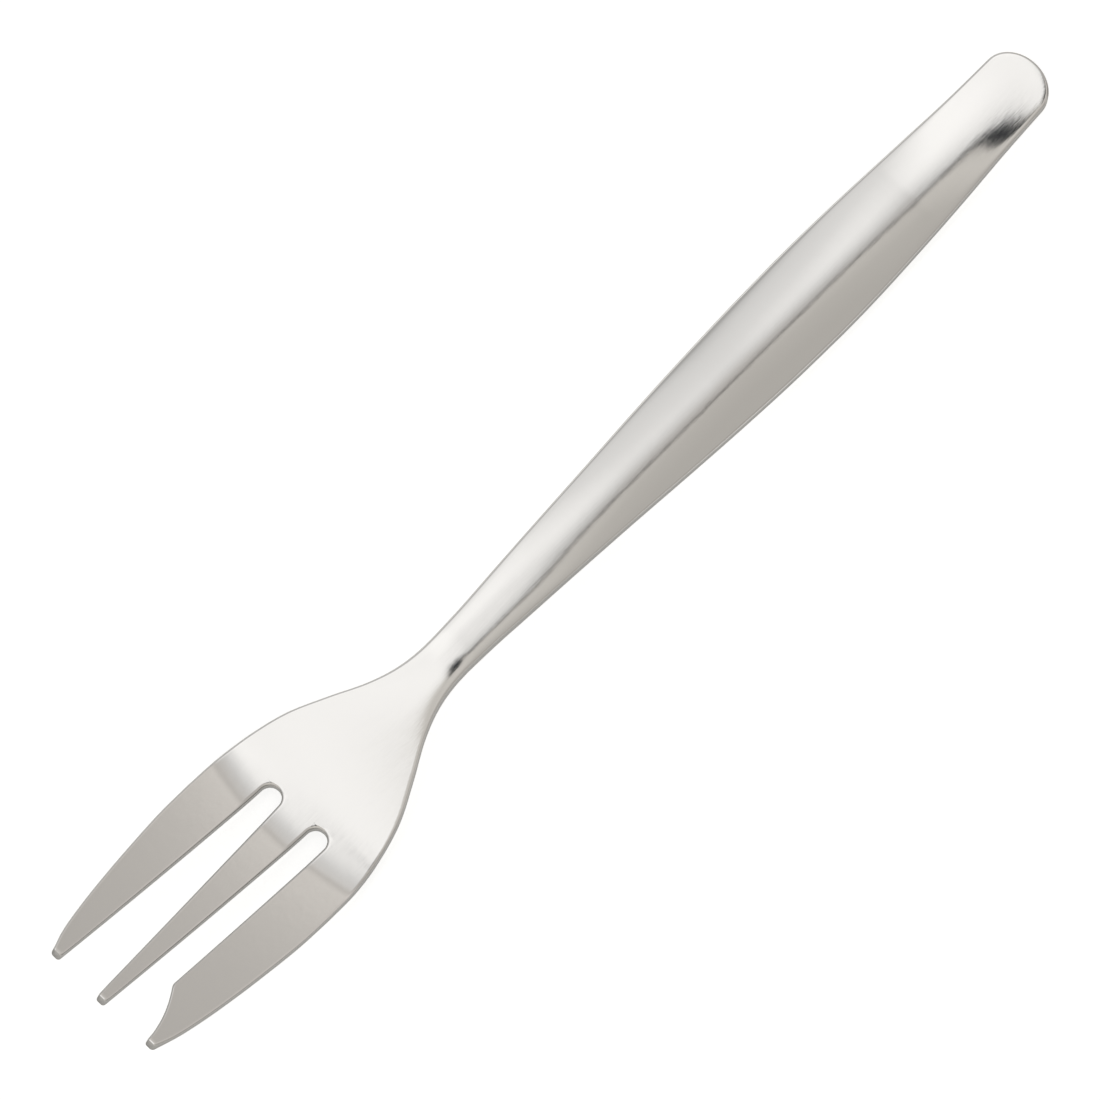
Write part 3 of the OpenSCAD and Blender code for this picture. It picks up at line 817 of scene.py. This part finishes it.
from_soft = node(tree, "ShaderNodeVectorMath", LESS, {0: spot, 1: SOFT_START}).outputs[0]
past_soft = node(tree, "ShaderNodeVectorMath", DOT, {
    0: way_on_map(SOFT_BEARING - 90), 1: from_soft}).outputs["Value"]
soft_panel = node(tree, "ShaderNodeMix", TIMES, {0: 1.0, 6: panel_light, 7: SOFT_PANEL}).outputs[2]
lower_room = node(tree, "ShaderNodeMix", MIX, {
    0: tones(past_soft, SOFT_TONES), 6: wall_light, 7: soft_panel}).outputs[2]
room = node(tree, "ShaderNodeMix", MIX, {
    0: tones(up_the_edge, SOFT_REACH), 6: lower_room, 7: upper_room}).outputs[2]
print("Half panel, half wall at", round(SOFT_TONES[2][0], 3), "from the soft edge")

# %% [markdown]
# The gap along the edge is nearly black where it begins and fades to a grey line. The dark thing beside
# the lens is an upright oval.

# %% Dark gap and dark patch
DARK_COLOUR = (0.02, 0.023, 0.027, 1)
GAP_TONES = by_angle((10, 1.0), (12, 0.06), (16, 0.06), (19, 0.3), (21.5, 0.47), (25, 0.55), (35, 0.52))
GAP_WIDTH = by_angle((-1.2, 1.0), (-0.7, 0.0), (0.7, 0.0), (1.2, 1.0))
DARK_PATCH, PATCH_SHAPE = on_map(-0.9, 3.4), (1.0, 0.66, 1.0)
PATCH_TONES = by_angle((1.8, 0.0), (2.8, 1.0))

across_edge = node(tree, "ShaderNodeVectorMath", DOT, {0: ACROSS_EDGE, 1: from_edge}).outputs["Value"]
in_gap = node(tree, "ShaderNodeMix", TIMES, {0: 1.0, 6: room, 7: tones(up_the_edge, GAP_TONES)}).outputs[2]
room = node(tree, "ShaderNodeMix", MIX, {
    0: tones(across_edge, GAP_WIDTH), 6: in_gap, 7: room}).outputs[2]
from_patch = node(tree, "ShaderNodeVectorMath", LESS, {0: spot, 1: DARK_PATCH}).outputs[0]
room = node(tree, "ShaderNodeMix", MIX, {
    0: tones(distance_of(from_patch, PATCH_SHAPE), PATCH_TONES), 6: DARK_COLOUR, 7: room}).outputs[2]
print("The gap is", round(GAP_WIDTH[2][0] - GAP_WIDTH[1][0], 3), "wide on the map")

# %% [markdown]
# The tines slope the other way, so they look past the panel at the farther wall.

# %% Farther wall
FAR_WAY, FAR_COLOUR = way_on_map(45), (1.31, 1.265, 1.215, 1)
FAR_TONES = by_angle((24, 0.45), (25.5, 0.50), (28, 0.585), (29.8, 0.475), (32, 0.43), (36, 0.40),
                     (50, 0.365), (90, 0.3))
FAR_REACH = by_angle((21.2, 0.0), (24.0, 1.0))

toward_far = node(tree, "ShaderNodeVectorMath", DOT, {0: FAR_WAY, 1: spot}).outputs["Value"]
far_light = node(tree, "ShaderNodeMix", TIMES, {
    0: 1.0, 6: tones(toward_far, FAR_TONES), 7: FAR_COLOUR}).outputs[2]
room = node(tree, "ShaderNodeMix", MIX, {
    0: tones(toward_far, FAR_REACH), 6: room, 7: far_light}).outputs[2]
print("The farther wall begins", round(FAR_REACH[0][0], 2), "from the middle of the map")

# %% [markdown]
# Low down around the room runs a dim band, as behind the lights of any studio. Seen from above, only
# the tumbled edges look so low, and the band gives them their thin line.

# %% Low dim band
BAND_COLOUR = (0.46, 0.46, 0.455, 1)
BAND_REACH = by_angle((50, 0.0), (56, 1.0), (60, 1.0), (68, 0.5), (90, 0.5))
BAND_BEARINGS = [(-180, 1.0), (-165, 1.0), (-140, 0.0), (-12, 0.0), (0, 1.0), (180, 1.0)]
BAND_DARK = [(-180, 0.0), (-60, 0.0), (-45, 1.0), (12, 1.0), (32, 0.0), (180, 0.0)]

band_share = node(tree, "ShaderNodeMix", TIMES, {
    0: 1.0, 6: tones(from_middle, BAND_REACH),
    7: tones(bearing_from_middle, BAND_BEARINGS)}).outputs[2]
band_light = node(tree, "ShaderNodeMix", MIX, {
    0: tones(bearing_from_middle, BAND_DARK), 6: BAND_COLOUR, 7: DARK_COLOUR}).outputs[2]
room = node(tree, "ShaderNodeMix", MIX, {0: band_share, 6: room, 7: band_light}).outputs[2]
room_light = node(tree, "ShaderNodeBackground", inputs={"Color": room})
node(tree, "ShaderNodeOutputWorld", inputs={"Surface": room_light.outputs[0]})
print("The room is drawn with", len(tree.nodes), "nodes")

# %% [markdown]
# ## The table
# The fork lies on a plain white table, far wider than any view of it.

# %% White table
TABLE_SIZE = 60.0

reach = TABLE_SIZE / 2
corners = [(x * reach, y * reach, 0.0) for x, y in ((-1, -1), (1, -1), (1, 1), (-1, 1))]
table_mesh = bpy.data.meshes.new("table")
table_mesh.from_pydata(corners, [], [(0, 1, 2, 3)])
table = bpy.data.objects.new("table", table_mesh)
bpy.context.scene.collection.objects.link(table)
print("Table", TABLE_SIZE, "m wide")

# %% [markdown]
# The table's paint glows white for whatever looks straight at it or mirrors it, so the background stays
# white without more light on the fork. Its matt part still takes the fork's soft shadow.

# %% White table paint
TABLE_HEX, TABLE_GLOW = "#C4C4C2", 0.735

paint = bpy.data.materials.new("white_table_paint")
paint.use_nodes = True
tree = paint.node_tree
tree.nodes.clear()
matt = node(tree, "ShaderNodeBsdfDiffuse", inputs={"Color": linear(TABLE_HEX)})
ray = node(tree, "ShaderNodeLightPath").outputs
seen = ray["Is Camera Ray"]
for kind in ("Is Glossy Ray", "Is Transmission Ray"):
    seen = node(tree, "ShaderNodeMath", {"operation": "MAXIMUM"}, {0: seen, 1: ray[kind]}).outputs[0]
strength = node(tree, "ShaderNodeMath", {"operation": "MULTIPLY"}, {0: seen, 1: TABLE_GLOW})
glow = node(tree, "ShaderNodeEmission", inputs={"Color": WHITE, "Strength": strength.outputs[0]})
both = node(tree, "ShaderNodeAddShader", inputs={0: matt.outputs[0], 1: glow.outputs[0]})
node(tree, "ShaderNodeOutputMaterial", inputs={"Surface": both.outputs[0]})
table_mesh.materials.append(paint)
bpy.context.scene.view_settings.view_transform = "Standard"
print("The paint glows with", TABLE_GLOW, "of white")
